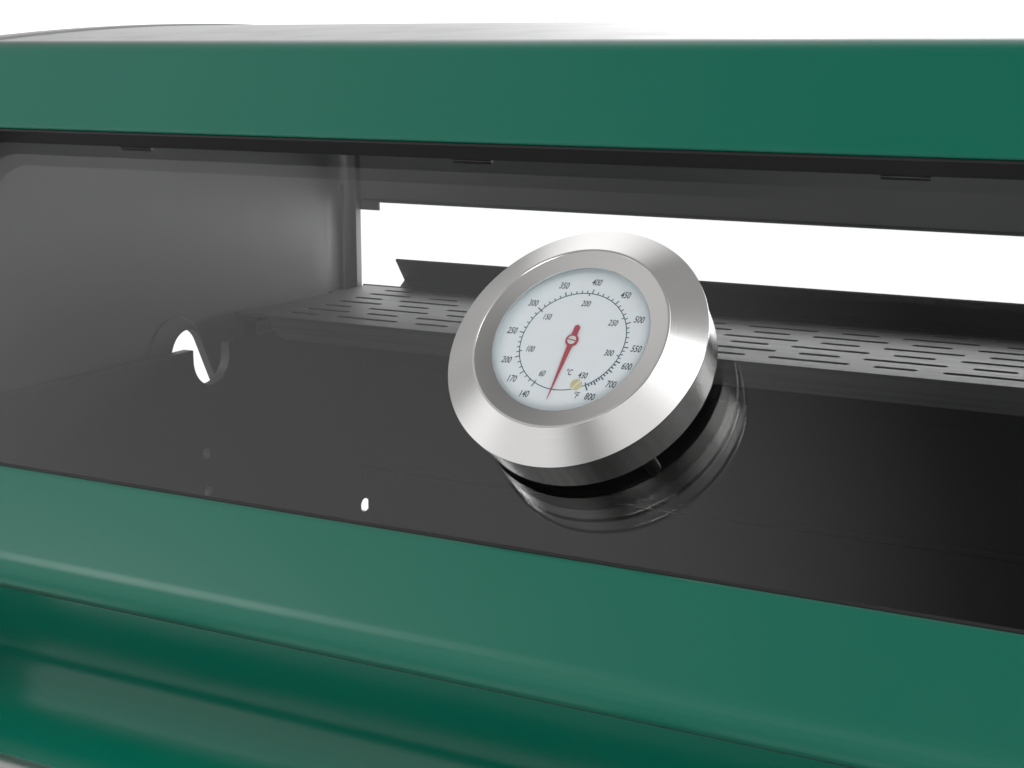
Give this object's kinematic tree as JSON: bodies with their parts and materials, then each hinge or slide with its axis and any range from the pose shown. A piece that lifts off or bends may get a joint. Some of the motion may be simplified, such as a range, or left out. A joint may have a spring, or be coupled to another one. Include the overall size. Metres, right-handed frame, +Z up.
{
  "type": "gas grill",
  "caption": "Cabinet gas grill with a hinged green hood, glass window and dial thermometer, warming rack, grates, tube burners, side shelves and doors.",
  "frame": {"origin": "on the ground, under the middle of the footprint", "axes": "+Z up, the front faces -Y, +X is to the right as seen from the front"},
  "size_m": [1.306, 0.488, 1.1621],
  "materials": {
    "green_enamel": "glossy",
    "grey_casting": "satin, dark grey paint on cast aluminium",
    "grey_paint": "satin",
    "dark_enamel": "satin",
    "shelf_paint": "satin",
    "window_black": "satin",
    "window_glass": "clear, slightly smoked",
    "lens_glass": "clear",
    "gasket_rubber": "matt",
    "bright_steel": "brushed",
    "dial_face": "matt white",
    "needle_red": "satin",
    "plain_steel": "plain",
    "cast_iron": "matt",
    "burner_steel": "dull",
    "valve_brass": "cast",
    "knob_black": "satin",
    "button_red": "glossy",
    "ceramic_white": "glazed ceramic",
    "tyre_black": "matt"
  },
  "bodies": {
    "cart": {"hood_hinge_pins": "plain_steel", "firebox_left": "grey_casting", "firebox_right": "grey_casting", "firebox_front": "dark_enamel", "firebox_back": "dark_enamel", "rear_deflector": "dark_enamel", "warming_rack": "bright_steel", "control_panel": "green_enamel", "grate_left": "cast_iron", "grate_middle": "cast_iron", "grate_right": "cast_iron", "heat_tents": "burner_steel", "burner_left": "burner_steel", "burner_middle": "burner_steel", "burner_right": "burner_steel", "manifold": "plain_steel", "valves": "valve_brass", "knob_bezels": "bright_steel", "igniter_bezel": "bright_steel", "spark_electrodes": "ceramic_white", "shelf_left": "shelf_paint", "shelf_right": "shelf_paint", "cabinet_left": "grey_paint", "cabinet_right": "grey_paint", "cabinet_back": "grey_paint", "cabinet_floor": "grey_paint", "front_rail": "grey_paint", "door_pins": "plain_steel", "wheel_axle": "plain_steel", "leveling_feet": "tyre_black"},
    "hood": {"hood_shell": "green_enamel", "hood_side_left": "grey_casting", "hood_side_right": "grey_casting", "hood_rear_panel": "dark_enamel", "window_frame": "window_black", "window_glass": "window_glass", "window_gasket": "gasket_rubber", "window_clips": "plain_steel", "hood_handle": "bright_steel", "handle_posts": "grey_casting", "hood_screws": "plain_steel", "thermometer_bezel": "bright_steel", "thermometer_gasket": "gasket_rubber", "thermometer_dial": "dial_face", "thermometer_lens": "lens_glass", "thermometer_stem": "plain_steel", "thermometer_nut": "plain_steel"},
    "needle": {"thermometer_needle": "needle_red"},
    "left_knob": {"knob_left": "knob_black"},
    "middle_knob": {"knob_middle": "knob_black"},
    "right_knob": {"knob_right": "knob_black"},
    "button": {"igniter_button": "button_red"},
    "tray": {"grease_tray": "plain_steel", "grease_cup": "bright_steel"},
    "left_door": {"door_left": "green_enamel", "door_handle_left": "bright_steel"},
    "right_door": {"door_right": "green_enamel", "door_handle_right": "bright_steel"},
    "front_wheel": {"wheel_front": "tyre_black"},
    "rear_wheel": {"wheel_rear": "tyre_black"}
  },
  "joints": [
    {"name": "hood_hinge", "type": "hinge", "parent": "cart", "child": "hood", "pos_m": [0, 0.222, 0.984], "axis": [-1, 0, 0], "range_deg": [0, 85]},
    {"name": "needle_turn", "type": "hinge", "parent": "hood", "child": "needle", "pos_m": [0, -0.132, 1.06173], "axis": [0, 0.757, -0.6534], "range_deg": [0, 324]},
    {"name": "left_knob_turn", "type": "hinge", "parent": "cart", "child": "left_knob", "pos_m": [-0.218, -0.20162, 0.82863], "axis": [0, -0.9397, 0.342], "range_deg": [0, 180]},
    {"name": "middle_knob_turn", "type": "hinge", "parent": "cart", "child": "middle_knob", "pos_m": [0, -0.20162, 0.82863], "axis": [0, -0.9397, 0.342], "range_deg": [0, 180]},
    {"name": "right_knob_turn", "type": "hinge", "parent": "cart", "child": "right_knob", "pos_m": [0.218, -0.20162, 0.82863], "axis": [0, -0.9397, 0.342], "range_deg": [0, 180]},
    {"name": "igniter_push", "type": "slide", "parent": "cart", "child": "button", "axis": [0, 0.9397, -0.342], "range_m": [0, 0.005], "stiffness_N_per_m": 600},
    {"name": "tray_slide", "type": "slide", "parent": "cart", "child": "tray", "axis": [0, 1, 0], "range_m": [0, 0.2]},
    {"name": "left_door_hinge", "type": "hinge", "parent": "cart", "child": "left_door", "pos_m": [-0.343, -0.19, 0.4], "axis": [0, 0, -1], "range_deg": [0, 110]},
    {"name": "right_door_hinge", "type": "hinge", "parent": "cart", "child": "right_door", "pos_m": [0.343, -0.19, 0.4], "axis": [0, 0, 1], "range_deg": [0, 110]},
    {"name": "front_wheel_spin", "type": "hinge", "parent": "cart", "child": "front_wheel", "pos_m": [0.3, -0.083, 0.045], "axis": [0, 1, 0], "continuous": true},
    {"name": "rear_wheel_spin", "type": "hinge", "parent": "cart", "child": "rear_wheel", "pos_m": [0.3, 0.176, 0.045], "axis": [0, 1, 0], "continuous": true}
  ]
}
